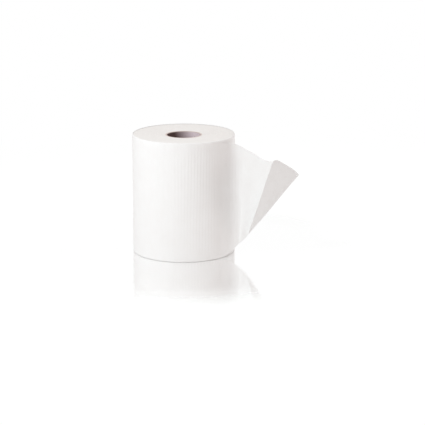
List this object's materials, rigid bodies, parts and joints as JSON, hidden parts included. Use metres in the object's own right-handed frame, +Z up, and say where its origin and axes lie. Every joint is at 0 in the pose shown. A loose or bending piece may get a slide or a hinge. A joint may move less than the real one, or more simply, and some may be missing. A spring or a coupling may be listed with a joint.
{
  "type": "hand towel roll",
  "caption": "Roll of white creped paper hand towel on an open cardboard core, standing on its end, with the loose end pulled off one side and its tip curled forward.",
  "frame": {"origin": "on the roll's axis at its base, in the middle of the core's lower end", "axes": "+Z up along the core, -Y towards the front of the roll, +X towards the side where the loose end leaves it"},
  "size_m": [0.2474, 0.1866, 0.18],
  "materials": {
    "towel_paper": "matt",
    "core_board": "matt"
  },
  "bodies": {
    "root": {"towel_web": "towel_paper", "core_tube": "core_board"}
  },
  "joints": []
}
